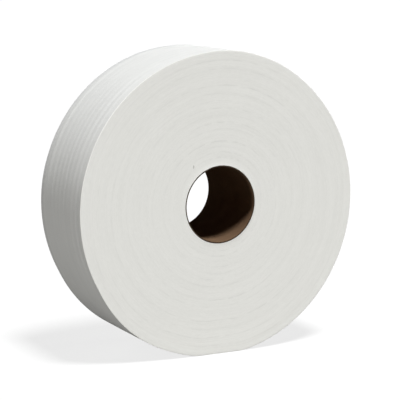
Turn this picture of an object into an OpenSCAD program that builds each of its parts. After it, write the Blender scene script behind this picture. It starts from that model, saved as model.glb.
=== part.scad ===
// Jumbo toilet paper roll: tissue wound on a cardboard tube, standing on its rim.
// The axis of the roll lies along Y, the visible end faces -Y and +Z is up.
// The origin is the centre of the tube. All sizes are in millimetres.

/* [Roll] */
// Diameter of the full roll before it sags
roll_d = 305; // [280:1:330]
// Width of the tissue, along the axis of the roll
roll_w = 95; // [80:1:115]

/* [Core] */
// Outer diameter of the cardboard tube
core_od = 78.2; // [60:0.2:90]
// Wall of the cardboard tube
core_wall = 1.3; // [0.8:0.1:3]
// How far each end of the tube lies inside the end of the roll
core_inset = 0.3; // [0.1:0.1:2]
// Paste line between the tube and the first turn
paste_gap = 0.1; // [0.05:0.05:0.3]

/* [Sag] */
// How far the loose outer turns have slipped sideways
sag_side = 2.0; // [0.5:0.1:4]
// How far the loose outer turns have slipped down
sag_down = 2.0; // [0.5:0.1:4]
// How far the floor presses into the lowest turns, which leaves the flat spot
press = 2.3; // [1.5:0.1:4]
// How far the bulge beside the flat spot stands past the round of the roll
bulge_out = 1.8; // [0.5:0.1:4]
// Angle from straight down to the bulge
bulge_angle = 34; // [25:1:45]
// Distance from the axis of the roll to the centre of the bulge's arc
bulge_shift = 15; // [10:1:30]
// Radius up to which the winding is tight and stays round
tight_r = 88; // [60:1:110]

/* [Turns seen on the ends] */
// Distance from the tube to the first turn line
turn_first = 7.8; // [4:0.1:12]
// Spacing of the first turn lines
turn_pitch = 5.3; // [4:0.1:8]
// Growth of the spacing from one turn line to the next
turn_grow = 0.24; // [0:0.02:0.4]
// Plain border between the last turn line and the rim
turn_border = 8; // [6:0.5:16]
// Width of a turn line
turn_w = 0.8; // [0.5:0.1:1.6]
// Depth of a turn line
turn_d = 0.4; // [0.2:0.05:0.8]

/* [Bands round the tread] */
// Spacing of the pressed lines round the tread
band_pitch = 9.5; // [7:0.5:14]
// Width of a pressed line
band_w = 1.6; // [0.8:0.1:3]
// Depth of a pressed line
band_d = 0.35; // [0.2:0.05:0.8]
// Least distance from a pressed line to the rim of the visible end
band_border = 6; // [3:0.5:9]
// Distance from the rim of the far end to the deeper line beside it
far_line = 13.5; // [9:0.5:18]
// Width of the deeper line
far_line_w = 3; // [1:0.1:5]
// Depth of the deeper line
far_line_d = 0.5; // [0.2:0.05:1]

/* [Free end of the sheet] */
// Angle from straight down to the edge where the outer sheet ends
end_angle = 104; // [70:1:150]
// Width of the line along that edge
end_w = 0.8; // [0.5:0.1:1.5]
// Depth of the line along that edge
end_d = 0.3; // [0.2:0.05:0.6]

/* [Hidden] */
$fn = 180;

roll_r = roll_d / 2;
core_r = core_od / 2;
bore_r = core_r - core_wall;
wound_r = core_r + paste_gap;
core_len = roll_w - 2 * core_inset;

// Turn lines spread further apart towards the rim, as the winding loosens
function turn_at(i) = core_r + turn_first + turn_pitch * i + turn_grow * i * (i - 1) / 2;
turn_last = roll_r - turn_border;
turn_count = len([for (i = [0 : 99]) if (turn_at(i) <= turn_last) i]);

// Pressed lines are counted from the middle of the tread, fewer of them towards the far end
near_lines = floor((roll_w / 2 - band_border - band_w / 2) / band_pitch);
far_line_h = far_line - roll_w / 2;
far_lines = floor(-far_line_h / band_pitch - 1.2);

paper_white = [0.94, 0.94, 0.93];
card_brown = [0.55, 0.44, 0.34];

// Places its children along Y, with the drawing seen from the visible end
module along_axis() {
    rotate([90, 0, 0]) children();
}

// Outline of the turn that had the given radius before the roll sagged
module outline(r) {
    slack = max(0, (r - tight_r) / (roll_r - tight_r));
    if (slack == 0) circle(r = r);
    else difference() {
        union() {
            circle(r = r);
            translate(slack * [sag_side, -sag_down]) circle(r = r);
            rotate(-bulge_angle) translate([0, -slack * bulge_shift]) {
                circle(r = r + slack * (bulge_out - bulge_shift));
            }
        }
        translate([-roll_d, -r - slack * (sag_down - press) - roll_d]) {
            square([2 * roll_d, roll_d]);
        }
    }
}

// One pressed line, cut round the tread and centred on the given height
module band_cut(h, w, d) {
    translate([0, 0, h]) linear_extrude(height = w, center = true) {
        difference() {
            square(1.5 * roll_d, center = true);
            outline(roll_r - d);
        }
    }
}

// Line along the edge where the outer sheet ends
module sheet_end_cut() {
    linear_extrude(height = roll_w + 20, center = true) difference() {
        rotate(end_angle) translate([-end_w / 2, -1.2 * roll_r]) square([end_w, 0.4 * roll_r]);
        outline(roll_r - end_d);
    }
}

// One turn line, sunk into the end that lies at the given height
module turn_cut(i, h) {
    translate([0, 0, h]) linear_extrude(height = 2 * turn_d, center = true) {
        difference() {
            outline(turn_at(i) + turn_w / 2);
            outline(turn_at(i) - turn_w / 2);
        }
    }
}

// All the turns of tissue, wound tight enough to be one solid
module paper_roll() {
    color(paper_white) along_axis() difference() {
        linear_extrude(height = roll_w, center = true) outline(roll_r);
        cylinder(r = wound_r, h = roll_w + 20, center = true);
        for (k = [-far_lines : near_lines]) band_cut(k * band_pitch, band_w, band_d);
        band_cut(far_line_h, far_line_w, far_line_d);
        sheet_end_cut();
        for (i = [0 : turn_count - 1]) {
            turn_cut(i, roll_w / 2);
            turn_cut(i, -roll_w / 2);
        }
    }
}

// Cardboard tube that the tissue is wound on
module core() {
    color(card_brown) along_axis() difference() {
        cylinder(r = core_r, h = core_len, center = true);
        cylinder(r = bore_r, h = core_len + 20, center = true);
    }
}

paper_roll();
core();
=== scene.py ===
import math

import bpy
import numpy as np
from mathutils import Matrix, Vector


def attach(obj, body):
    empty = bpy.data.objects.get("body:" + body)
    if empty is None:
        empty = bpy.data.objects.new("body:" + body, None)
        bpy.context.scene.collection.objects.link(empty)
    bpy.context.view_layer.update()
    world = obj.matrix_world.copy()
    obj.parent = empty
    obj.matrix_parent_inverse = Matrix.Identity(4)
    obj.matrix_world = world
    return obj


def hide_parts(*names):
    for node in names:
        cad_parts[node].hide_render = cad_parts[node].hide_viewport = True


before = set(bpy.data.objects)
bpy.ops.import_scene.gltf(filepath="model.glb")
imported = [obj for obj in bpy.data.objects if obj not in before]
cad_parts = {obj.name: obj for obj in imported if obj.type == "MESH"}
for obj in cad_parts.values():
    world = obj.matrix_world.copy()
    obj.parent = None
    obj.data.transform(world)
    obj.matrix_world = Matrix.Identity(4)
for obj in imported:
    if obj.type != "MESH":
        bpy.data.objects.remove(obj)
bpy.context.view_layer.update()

# Sizes of the roll in millimetres, as in the CAD model
ROLL_R = 152.5
ROLL_W = 95.0
CORE_R = 39.1
BORE_R = 37.8
WOUND_R = 39.2
CORE_LEN = 94.4
SAG_SIDE = 2.0
SAG_DOWN = 2.0
PRESS = 2.3
BULGE_OUT = 1.8
BULGE_ANGLE = math.radians(34.0)
BULGE_SHIFT = 15.0
TIGHT_R = 88.0
TURN_LINES = [CORE_R + 7.8 + 5.3 * i + 0.12 * i * (i - 1) for i in range(15)]
BAND_PITCH = 9.5
BAND_LINES = [k * BAND_PITCH for k in range(-4, 3)]
FAR_LINE = 34.0
END_ANGLE = math.radians(104.0)

# Values that follow from them
HALF_W = ROLL_W / 2.0
HALF_CORE = CORE_LEN / 2.0
FLOOR_Z = -(ROLL_R + SAG_DOWN - PRESS)
MM = 0.001

# Finer forms of the skin, in millimetres
RIM = 0.4
TREAD_START = 0.9
END_LIP = 0.04
END_COLLAR = 0.27
END_EASE_R = 120.0
LEAST_DIP = 0.05

# Least angle between two faces whose shared edge is sharp
SHARP_ANGLE = math.radians(40.0)

# How many points lie round the paper and round the tube, and along the tube
PAPER_STEPS = 256
TUBE_STEPS = 192
TUBE_LENGTHS = 72

# Colours of the paper and the card
END_LOW = (0.829, 0.829, 0.797)
END_HIGH = (0.909, 0.909, 0.878)
# Painted shade in the gaps between the turns
TURN_GAP_SHADE_TINT = (0.79, 0.79, 0.785)
FLECK_GREY = (0.60, 0.59, 0.56)
TREAD_LOW = (0.845, 0.848, 0.838)
TREAD_HIGH = (0.890, 0.892, 0.880)
# Painted shade along the far rim of the tread
FAR_RIM_SHADE_TINT = (0.90, 0.90, 0.91)
CARD_WALL_LOW = (0.146, 0.089, 0.054)
CARD_WALL_HIGH = (0.222, 0.140, 0.087)
# The tube's cut ends: kraft darkened near to black as painted shade for the dark line between tube and
# paper
CARD_CUT_SHADE_LOW = (0.045, 0.031, 0.022)
CARD_CUT_SHADE_HIGH = (0.085, 0.059, 0.041)

# The fleck beside the tube: its place, how slim it is each way, and its least and added reach
FLECK_AT = (-0.0304, -0.0473, 0.0394)
FLECK_SLIM = (1.3, 1.0, 0.5)
FLECK_REACH = 0.0006


# Camera: fitted to the photograph
def make_camera():
    data = bpy.data.cameras.new("camera")
    data.sensor_width = 36.0
    data.lens = 135.55
    data.clip_start = 0.05
    data.clip_end = 60.0
    cam = bpy.data.objects.new("camera", data)
    bpy.context.scene.collection.objects.link(cam)
    right = Vector((0.880625, -0.473694, 0.010611)).normalized()
    look = Vector((0.468763, 0.867761, -0.165084)).normalized()
    up = right.cross(look).normalized()
    rot = Matrix((right, up, -look)).transposed().to_4x4()
    cam.matrix_world = Matrix.Translation((-0.71664, -1.33114, 0.2505)) @ rot
    bpy.context.scene.camera = cam


# Small helpers for node trees
def new_material(name):
    mat = bpy.data.materials.new(name)
    mat.use_nodes = True
    tree = mat.node_tree
    tree.nodes.clear()
    return mat, tree


def add(tree, kind, **values):
    node = tree.nodes.new(kind)
    for key, value in values.items():
        if key in node.inputs.keys():
            node.inputs[key].default_value = value
        else:
            setattr(node, key, value)
    return node


def link(tree, a, out, b, into):
    tree.links.new(a.outputs[out], b.inputs[into])


def maths(tree, operation, a, b=None, clamp=False):
    node = tree.nodes.new("ShaderNodeMath")
    node.operation = operation
    node.use_clamp = clamp
    for index, value in enumerate((a, b)):
        if value is None:
            continue
        if isinstance(value, (int, float)):
            node.inputs[index].default_value = value
        else:
            tree.links.new(value, node.inputs[index])
    return node.outputs[0]


# Sum of several values, each times its share
def shares(tree, *parts):
    total = None
    for value, share in parts:
        part = maths(tree, "MULTIPLY", value, share)
        total = part if total is None else maths(tree, "ADD", total, part)
    return total


def ramp(tree, value, low, high, colour_low, colour_high):
    node = tree.nodes.new("ShaderNodeValToRGB")
    node.color_ramp.elements[0].position = low
    node.color_ramp.elements[0].color = (*colour_low, 1.0)
    node.color_ramp.elements[1].position = high
    node.color_ramp.elements[1].color = (*colour_high, 1.0)
    tree.links.new(value, node.inputs[0])
    return node.outputs[0]


# A colour with another one mixed in, or multiplied in, by a factor
def tinted(tree, kind, factor, colour, tint):
    node = add(tree, "ShaderNodeMix", data_type="RGBA", blend_type=kind)
    node.inputs[7].default_value = (*tint, 1.0)
    tree.links.new(factor, node.inputs[0])
    tree.links.new(colour, node.inputs[6])
    return node.outputs[2]


def noise(tree, vector, scale, detail=3.0, roughness=0.55):
    node = tree.nodes.new("ShaderNodeTexNoise")
    node.inputs["Scale"].default_value = scale
    node.inputs["Detail"].default_value = detail
    node.inputs["Roughness"].default_value = roughness
    tree.links.new(vector, node.inputs["Vector"])
    return node.outputs[0]


def scaled(tree, vector, scale):
    node = tree.nodes.new("ShaderNodeVectorMath")
    node.operation = "MULTIPLY"
    node.inputs[1].default_value = scale
    tree.links.new(vector, node.inputs[0])
    return node.outputs[0]


def painted(tree, name):
    return add(tree, "ShaderNodeAttribute", attribute_name=name).outputs["Fac"]


# The matt surface itself, from its colour and the heights that roughen it
def finish_surface(tree, colour, height, roughness, specular, strength, distance):
    out = add(tree, "ShaderNodeOutputMaterial")
    shader = add(tree, "ShaderNodeBsdfPrincipled", Roughness=roughness)
    shader.inputs["Specular IOR Level"].default_value = specular
    tree.links.new(colour, shader.inputs["Base Color"])
    bump = add(tree, "ShaderNodeBump", Strength=strength, Distance=distance)
    tree.links.new(height, bump.inputs["Height"])
    link(tree, bump, "Normal", shader, "Normal")
    link(tree, shader, "BSDF", out, "Surface")


# The one grey fleck beside the tube on the visible end
def fleck(tree, here, fibre):
    away = tree.nodes.new("ShaderNodeVectorMath")
    away.operation = "SUBTRACT"
    away.inputs[1].default_value = FLECK_AT
    tree.links.new(here, away.inputs[0])
    slim = scaled(tree, away.outputs[0], FLECK_SLIM)
    length = tree.nodes.new("ShaderNodeVectorMath")
    length.operation = "LENGTH"
    tree.links.new(slim, length.inputs[0])
    reach = maths(tree, "ADD", FLECK_REACH, maths(tree, "MULTIPLY", fibre, FLECK_REACH))
    return maths(tree, "LESS_THAN", length.outputs[1], reach)


# Coordinates on an end that change fast across the turns and slowly round them
def turn_coordinates(tree, here):
    turn = painted(tree, "turn")
    flat = scaled(tree, here, (1.0, 0.0, 1.0))
    unit = tree.nodes.new("ShaderNodeVectorMath")
    unit.operation = "NORMALIZE"
    tree.links.new(flat, unit.inputs[0])
    split = add(tree, "ShaderNodeSeparateXYZ")
    tree.links.new(unit.outputs[0], split.inputs[0])

    def across(per_metre, around):
        join = add(tree, "ShaderNodeCombineXYZ")
        tree.links.new(maths(tree, "MULTIPLY", turn, per_metre), join.inputs[0])
        tree.links.new(maths(tree, "MULTIPLY", split.outputs[0], around), join.inputs[1])
        tree.links.new(maths(tree, "MULTIPLY", split.outputs[2], around), join.inputs[2])
        return join.outputs[0]

    return across


# Tissue seen on the cut ends: fine turn edges that run round the roll, and painted shade in broken gaps
# between turns
def end_material():
    mat, tree = new_material("tissue_end")
    here = add(tree, "ShaderNodeTexCoord").outputs["Object"]
    across = turn_coordinates(tree, here)
    broad = noise(tree, across(160.0, 1.1), 1.0, 2.0)
    rings = noise(tree, across(620.0, 1.6), 1.0, 3.0, 0.6)
    dashes = noise(tree, across(950.0, 26.0), 1.0, 2.0, 0.5)
    breaks = noise(tree, across(260.0, 9.0), 1.0, 2.0, 0.5)
    fine = noise(tree, across(4200.0, 2.5), 1.0, 3.0, 0.6)
    fibre = noise(tree, here, 1500.0, 3.0, 0.6)
    shade = shares(tree, (broad, 0.25), (rings, 0.35), (dashes, 0.40))
    colour = ramp(tree, shade, 0.30, 0.70, END_LOW, END_HIGH)
    # Painted shade in the broken gaps between turns, darkest above and below the tube
    gap_shade = maths(tree, "MULTIPLY", maths(tree, "SUBTRACT", breaks, 0.40), 5.0, clamp=True)
    gap_shade = maths(tree, "MULTIPLY", painted(tree, "gap"), maths(tree, "MULTIPLY", gap_shade, dashes))
    colour = tinted(tree, "MULTIPLY", gap_shade, colour, TURN_GAP_SHADE_TINT)
    colour = tinted(tree, "MIX", fleck(tree, here, fibre), colour, FLECK_GREY)
    height = shares(tree, (rings, 0.35), (fine, 0.35), (fibre, 0.30))
    finish_surface(tree, colour, height, roughness=0.95, specular=0.15, strength=0.40, distance=0.0004)
    return mat


# Tissue seen on the tread: crepe, fibre, the crimp pressed into the lines and painted shade along the
# far rim
def tread_material():
    mat, tree = new_material("tissue_tread")
    here = add(tree, "ShaderNodeTexCoord").outputs["Object"]
    crepe = noise(tree, scaled(tree, here, (1900.0, 260.0, 1900.0)), 1.0, 3.0, 0.6)
    fibre = noise(tree, here, 1600.0, 3.0, 0.6)
    cloud = noise(tree, here, 60.0, 3.0, 0.55)
    strip = noise(tree, scaled(tree, here, (8.0, 330.0, 8.0)), 1.0, 2.0, 0.5)
    cell = add(tree, "ShaderNodeTexVoronoi", Scale=850.0)
    tree.links.new(here, cell.inputs["Vector"])
    dots = maths(tree, "MULTIPLY", cell.outputs["Distance"], painted(tree, "line"))
    shade = shares(tree, (cloud, 0.35), (strip, 0.65))
    colour = ramp(tree, shade, 0.30, 0.70, TREAD_LOW, TREAD_HIGH)
    # Painted shade, greyer towards the far rim
    colour = tinted(tree, "MULTIPLY", painted(tree, "border"), colour, FAR_RIM_SHADE_TINT)
    height = shares(tree, (crepe, 0.5), (fibre, 0.35), (dots, 0.6))
    finish_surface(tree, colour, height, roughness=0.95, specular=0.15, strength=0.40, distance=0.0003)
    return mat


# Kraft card of the tube: long fibres that follow the wound plies
def card_material(name, low, high):
    mat, tree = new_material(name)
    here = add(tree, "ShaderNodeTexCoord").outputs["Object"]
    long_fibre = noise(tree, scaled(tree, here, (500.0, 1500.0, 500.0)), 1.0, 4.0, 0.65)
    speck = noise(tree, here, 900.0, 2.0, 0.5)
    cloud = noise(tree, here, 45.0, 3.0, 0.55)
    shade = shares(tree, (long_fibre, 0.5), (cloud, 0.5))
    colour = ramp(tree, shade, 0.30, 0.70, low, high)
    height = shares(tree, (long_fibre, 0.6), (speck, 0.4))
    finish_surface(tree, colour, height, roughness=0.90, specular=0.0, strength=0.35, distance=0.0002)
    return mat


# Radius of a turn at each angle from straight down, with the sag eased in softly
def turn_outline(angles, r):
    slack = max(0.0, (r - TIGHT_R) / (ROLL_R - TIGHT_R))
    if slack == 0.0:
        return np.full(len(angles), r)
    fine = np.linspace(-math.pi, math.pi, 1440, endpoint=False)
    ux, uz = np.sin(fine), -np.cos(fine)

    def arc(x, z, radius):
        b = ux * x + uz * z
        return b + np.sqrt(b * b - (x * x + z * z - radius * radius))

    shift = slack * BULGE_SHIFT
    bulge_r = r + slack * (BULGE_OUT - BULGE_SHIFT)
    bulge = arc(-shift * math.sin(BULGE_ANGLE), -shift * math.cos(BULGE_ANGLE), bulge_r)
    shape = np.maximum(r, arc(slack * SAG_SIDE, -slack * SAG_DOWN, r))
    shape = np.maximum(shape, bulge)

    # The floor cuts the turn off flat, before and after the corners are eased
    flat = (r + slack * (SAG_DOWN - PRESS)) / np.maximum(-uz, 0.05)
    shape = np.where(uz < -0.2, np.minimum(shape, flat), shape)
    reach = np.arange(-16, 17)
    kernel = np.exp(-0.5 * (reach / 5.0) ** 2)
    kernel /= kernel.sum()
    smooth = sum(w * np.roll(shape, int(k)) for w, k in zip(kernel, reach))
    smooth = np.where(uz < -0.2, np.minimum(smooth, flat), smooth)
    return np.interp(angles, np.append(fine, math.pi), np.append(smooth, smooth[0]))


# The given marks in order, with more between them so that no step is longer than the limit
def fill_in(marks, limit):
    marks = sorted(marks)
    filled = [marks[0]]
    for mark in marks[1:]:
        start = filled[-1]
        gap = mark - start
        parts = max(1, int(math.ceil(gap / limit)))
        filled += [start + gap * (n + 1) / parts for n in range(parts)]
    return filled


# Radii on an end face, close together at each turn line
def end_stations(edge):
    marks = [WOUND_R, edge]
    for line in TURN_LINES:
        marks += [line - 0.7, line - 0.3, line, line + 0.3, line + 0.7]
    return fill_in(marks, 1.9)


# Places along the tread, close together at each pressed line and beside the far rim
def tread_stations():
    marks = [-(HALF_W - TREAD_START), HALF_W - TREAD_START]
    for line in BAND_LINES:
        marks += [line + step for step in (-1.6, -1.1, -0.55, 0.0, 0.55, 1.1, 1.6)]
    marks += [FAR_LINE + step for step in (-3.4, -2.4, -1.6, -0.8, 0.0, 0.8, 1.6, 2.4, 3.4)]
    marks += [38.6, 39.8, 41.0, 42.0, 43.2, 44.8]
    return fill_in(marks, 2.4)


# How open the line between two turns is, for its shallow groove and for the painted shade in it; both
# are strongest above and below the tube, where the light from above falls across the lines
def turn_gap_and_shade(r, angles):
    gap = np.zeros(len(angles))
    for n, line in enumerate(TURN_LINES):
        close = math.exp(-(((r - line) / 0.6) ** 2))
        strength = 0.70 + 0.30 * math.sin(2.4 * n + 0.6)
        drift = 0.80 + 0.20 * np.sin(angles * (1 + n % 3) + n * 1.7)
        gap += close * strength * drift
    return gap * (0.40 + 0.60 * np.cos(angles) ** 2)


# Turns are never quite round, so their lines stray a little
def turn_stray(r, angles):
    edge = min(1.0, (ROLL_R - r) / 10.0) * min(1.0, (r - WOUND_R) / 8.0)
    stray = 0.40 * np.sin(angles + 0.09 * r) + 0.30 * np.sin(2.0 * angles - 0.13 * r + 1.0)
    return stray * max(edge, 0.0)


# How deep each radius of an end lies below the plane of the cut
def end_depth(r, angles, phase):
    wave = 0.006 * np.sin(2.0 * angles + phase) + 0.02 * np.sin(r * 0.31 + 0.8 * np.sin(angles))
    edge = min(1.0, (ROLL_R - r) / 8.0) * min(1.0, (r - WOUND_R) / 6.0)
    collar = min(1.0, max(0.0, (r - WOUND_R - 0.3) / 2.6))
    return 0.016 * turn_gap_and_shade(r, angles) + END_LIP + END_COLLAR * collar + wave * max(edge, 0.0)


# Soft window over a range of angles round the roll, in degrees on from straight down
def window(angles, start, stop, ease):
    degrees = np.degrees(angles) % 360.0
    rise = 1.0 / (1.0 + np.exp(-(degrees - start) / ease))
    return rise / (1.0 + np.exp((degrees - stop) / ease))


# Smooth corner that rises with slope 1 past the start
def soft_step(value, start, width):
    return width * math.log1p(math.exp((value - start) / width))


# Soft bump round a centre
def hump(value, centre, width):
    return math.exp(-(((value - centre) / width) ** 2))


# How far the tread lies inside the plain round: a soft shoulder at the near rim on the left, a dip and
# a fall towards the far rim, swells between the lines, and the edge where the outer sheet ends
def tread_dip(y, near, angles):
    upper = window(angles, 184.0, 256.0, 2.5)
    left = window(angles, 256.0, 310.0, 4.0)
    shoulder = 0.045 * soft_step(-y, 24.0, 4.0) * (upper + left)
    line = 0.32 * hump(y, 29.8, 3.2) * (1.0 - 0.85 * left)
    fall = 0.004 * soft_step(y, 2.0, 3.0)
    fall += 0.23 * (soft_step(y, 36.6, 0.6) - soft_step(y, 39.5, 0.6))
    fall -= 0.06 * (soft_step(y, 41.0, 0.6) - soft_step(y, 45.0, 0.6))
    drift = y + 0.5 * np.sin(3.0 * angles + 0.05 * y)
    swell = (0.088 + 0.03 * np.sin(2.0 * angles + 0.2 * y)) * np.sin(2.0 * math.pi * drift / BAND_PITCH)
    swell = swell * min(1.0, max(0.0, (25.0 - y) / 4.0))
    behind = np.clip((angles - END_ANGLE) / math.radians(0.25), 0.0, 1.0)
    sheet = 0.12 * behind * np.clip(1.0 - (angles - END_ANGLE) / 0.7, 0.0, 1.0)
    dip = 0.13 + shoulder + line + fall * (0.10 + 0.90 * upper) + 0.06 * near - swell + sheet
    return np.maximum(dip, LEAST_DIP)


# A closed skin through rings of points, whose last ring is joined to the first
def closed_skin(name, rows, slots, materials, turned):
    count = len(rows[0])
    a = np.arange(len(rows) * count).reshape(len(rows), count)
    b = np.roll(a, -1, axis=1)
    c = np.roll(b, -1, axis=0)
    d = np.roll(a, -1, axis=0)
    corners = [a, d, c, b] if turned else [a, b, c, d]
    quads = np.stack(corners, axis=2).reshape(-1, 4)
    mesh = bpy.data.meshes.new(name)
    mesh.from_pydata((np.concatenate(rows) * MM).tolist(), [], quads.tolist())
    for mat in materials:
        mesh.materials.append(mat)
    mesh.polygons.foreach_set("material_index", np.repeat(np.array(slots), count).astype(np.int32))
    mesh.polygons.foreach_set("use_smooth", np.ones(len(quads), dtype=bool))
    mesh.update()
    mesh.set_sharp_from_angle(angle=SHARP_ANGLE)
    skin = bpy.data.objects.new(name, mesh)
    bpy.context.scene.collection.objects.link(skin)
    return skin


# Angles round the paper, with more of them at the edge where the outer sheet ends
def paper_angles():
    angles = np.linspace(-math.pi, math.pi, PAPER_STEPS, endpoint=False)
    edge_steps = np.radians([-0.8, -0.3, 0.0, 0.12, 0.25, 0.6])
    return np.sort(np.concatenate([angles, END_ANGLE + edge_steps]))


# The whole wound roll as one closed skin
def make_roll(materials):
    angles = paper_angles()
    count = len(angles)
    rng = np.random.RandomState(11)
    rows, slots = [], []
    marks = {"turn": [], "line": [], "gap": [], "border": []}

    def put(r, y, depth_in, on_line, slot):
        shape = turn_outline(angles, r) - depth_in
        rows.append(np.stack([shape * np.sin(angles), y, -shape * np.cos(angles)], axis=1))
        slots.append(slot)
        # far sets the painted shade beside the far rim of the tread
        far = min(1.0, max(0.0, (y.mean() - 39.5) / 3.0)) if slot == 1 else 0.0
        marks["turn"].append(np.full(count, r * MM))
        marks["line"].append(np.full(count, on_line))
        # The gap mark carries the painted shade between turns
        marks["gap"].append(turn_gap_and_shade(r, angles))
        marks["border"].append(np.full(count, far))

    # Each end follows the softened rim of the tread at its outer edge
    def put_end(r, edge, least, edge_dip, side):
        ease = min(1.0, max(0.0, (r - END_EASE_R) / (edge - END_EASE_R)))
        y = side * (HALF_W - end_depth(r, angles, rng.uniform(0, 6.3)))
        put(r, y, ease * ease * (edge_dip - least) - turn_stray(r, angles), 0.0, 0)

    def put_rim(edge_dip, a, side):
        y = side * (HALF_W - END_LIP - END_COLLAR - RIM * (1.0 - math.cos(a)))
        put(ROLL_R, np.full(count, y), edge_dip + RIM * (1.0 - math.sin(a)), 0.0, 0)

    near_dip = tread_dip(-HALF_W + TREAD_START, 0.0, angles)
    far_dip = tread_dip(HALF_W - TREAD_START, 0.0, angles)
    near_edge = ROLL_R - near_dip.min() - RIM
    far_edge = ROLL_R - far_dip.min() - RIM
    for r in end_stations(near_edge):
        put_end(r, near_edge, near_dip.min(), near_dip, -1.0)
    for step in (0.25, 0.5, 0.75):
        put_rim(near_dip, step * math.pi / 2.0, -1.0)
    for y in tread_stations():
        near = max(hump(y, mark, 0.9) for mark in BAND_LINES)
        far = hump(y, FAR_LINE, 2.0)
        wave = 0.03 * np.sin(5.0 * angles + y * 0.6)
        put(ROLL_R, np.full(count, y), tread_dip(y, near, angles) + wave, max(near, far), 1)
    for step in (0.75, 0.5, 0.25):
        put_rim(far_dip, step * math.pi / 2.0, 1.0)
    for r in reversed(end_stations(far_edge)):
        put_end(r, far_edge, far_dip.min(), far_dip, 1.0)
    for y in (40.0, 20.0, 0.0, -20.0, -40.0):
        put(WOUND_R, np.full(count, y), 0.0, 0.0, 0)

    roll = closed_skin("paper_turns", rows, slots, materials, True)
    for name, values in marks.items():
        layer = roll.data.attributes.new(name, "FLOAT", "POINT")
        layer.data.foreach_set("value", np.concatenate(values))
    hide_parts("paper_roll")
    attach(roll, "root")
    return roll


# The tube, with the low ridge of its wound plies on the inside
def make_tube(materials):
    angles = np.linspace(-math.pi, math.pi, TUBE_STEPS, endpoint=False)
    rows, slots = [], []
    lead = 150.0

    def put(r, y, slot):
        rows.append(np.stack([r * np.sin(angles), y, -r * np.cos(angles)], axis=1))
        slots.append(slot)

    def put_round(r, y, slot):
        put(np.full(TUBE_STEPS, r), y, slot)

    # Cut ends waver a little, and the inside carries one spiral seam
    waver = 0.06 * np.sin(7.0 * angles) + 0.04 * np.sin(13.0 * angles + 1.0)
    for n in range(TUBE_LENGTHS + 1):
        y = -HALF_CORE + 0.1 + (CORE_LEN - 0.2) * n / TUBE_LENGTHS
        turn_part = (angles / (2.0 * math.pi) - y / lead) % 1.0
        seam = np.exp(-(((turn_part - 0.5) / 0.006) ** 2)) * 0.12
        step = np.where(turn_part > 0.5, 0.05, 0.0) * (1.0 - turn_part) * 2.0
        put(BORE_R + seam + step, np.full(TUBE_STEPS, y), 0)
    # The cut ends take the second colour, darkened as painted shade
    put_round(BORE_R + 0.15, HALF_CORE - 0.03 + waver * 0.3, 1)
    put_round((BORE_R + CORE_R) / 2.0, HALF_CORE - 0.05 + waver * 0.5, 1)
    put_round(CORE_R - 0.1, HALF_CORE - 0.03 + waver * 0.3, 1)
    put_round(CORE_R, np.full(TUBE_STEPS, HALF_CORE - 0.1), 0)
    put_round(CORE_R, np.full(TUBE_STEPS, -HALF_CORE + 0.1), 1)
    put_round(CORE_R - 0.1, -HALF_CORE + 0.03 + waver * 0.3, 1)
    put_round((BORE_R + CORE_R) / 2.0, -HALF_CORE + 0.05 + waver * 0.5, 1)
    put_round(BORE_R + 0.15, -HALF_CORE + 0.03 + waver * 0.3, 1)

    tube = closed_skin("card_tube", rows, slots, materials, False)
    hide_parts("core")
    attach(tube, "root")
    return tube


# One shader for what is seen directly, in gloss or through glass, and another for all other light
def split_by_path(tree, plain, seen, out):
    path = add(tree, "ShaderNodeLightPath")
    direct = maths(tree, "MAXIMUM", path.outputs["Is Camera Ray"], path.outputs["Is Glossy Ray"])
    direct = maths(tree, "MAXIMUM", direct, path.outputs["Is Transmission Ray"])
    mix = add(tree, "ShaderNodeMixShader")
    tree.links.new(direct, mix.inputs[0])
    tree.links.new(plain.outputs[0], mix.inputs[1])
    tree.links.new(seen.outputs[0], mix.inputs[2])
    link(tree, mix, 0, out, "Surface")


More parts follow.
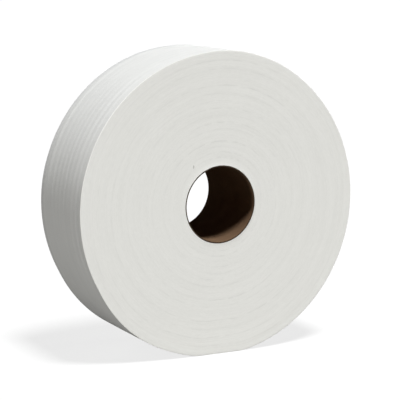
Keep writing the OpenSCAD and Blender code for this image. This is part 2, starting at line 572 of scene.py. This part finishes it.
# White floor that keeps the shadow
def make_floor():
    mat, tree = new_material("floor_white")
    out = add(tree, "ShaderNodeOutputMaterial")
    plain = add(tree, "ShaderNodeBsdfDiffuse", Color=(0.13, 0.127, 0.118, 1.0))
    shaded = add(tree, "ShaderNodeBsdfDiffuse", Color=(0.25, 0.25, 0.25, 1.0))
    glow = add(tree, "ShaderNodeEmission", Color=(1.0, 1.0, 1.0, 1.0), Strength=0.78)
    seen = add(tree, "ShaderNodeAddShader")
    tree.links.new(shaded.outputs[0], seen.inputs[0])
    tree.links.new(glow.outputs[0], seen.inputs[1])
    split_by_path(tree, plain, seen, out)
    mesh = bpy.data.meshes.new("floor")
    s, z = 12.0, FLOOR_Z * MM
    mesh.from_pydata([(-s, -s, z), (s, -s, z), (s, s, z), (-s, s, z)], [], [(0, 1, 2, 3)])
    mesh.materials.append(mat)
    floor = bpy.data.objects.new("floor", mesh)
    bpy.context.scene.collection.objects.link(floor)


# White world behind the floor, which lights the object only a little
def make_world():
    world = bpy.data.worlds.new("world")
    bpy.context.scene.world = world
    world.use_nodes = True
    tree = world.node_tree
    tree.nodes.clear()
    out = add(tree, "ShaderNodeOutputWorld")
    plain = add(tree, "ShaderNodeBackground", Color=(1.0, 1.0, 1.0, 1.0), Strength=0.008)
    seen = add(tree, "ShaderNodeBackground", Color=(1.0, 1.0, 1.0, 1.0), Strength=1.0)
    split_by_path(tree, plain, seen, out)


# A far lamp that shines from the given direction
def make_lamp(name, direction, strength, spread, colour):
    data = bpy.data.lights.new(name, "SUN")
    data.energy = strength
    data.angle = math.radians(spread)
    data.color = colour
    lamp = bpy.data.objects.new(name, data)
    bpy.context.scene.collection.objects.link(lamp)
    lamp.rotation_euler = Vector(direction).to_track_quat("Z", "Y").to_euler()
    lamp.location = Vector(direction) * 2.0


make_camera()
make_floor()
make_world()
make_lamp("key", (0.075, -0.30, 0.95), 3.05, 14.0, (0.990, 0.998, 0.998))
make_lamp("front", (0.0, -1.0, 0.03), 1.44, 2.0, (1.0, 0.993, 0.982))
make_lamp("left", (-1.0, -0.02, 0.04), 0.94, 8.0, (1.0, 0.995, 0.970))
make_lamp("back", (0.5, 0.85, 0.1), 1.0, 10.0, (1.0, 1.0, 0.99))
make_roll([end_material(), tread_material()])
make_tube([
    card_material("card_wall", CARD_WALL_LOW, CARD_WALL_HIGH),
    # The cut ends carry painted shade
    card_material("card_cut_shade", CARD_CUT_SHADE_LOW, CARD_CUT_SHADE_HIGH),
])

bpy.context.scene.view_settings.view_transform = "Standard"
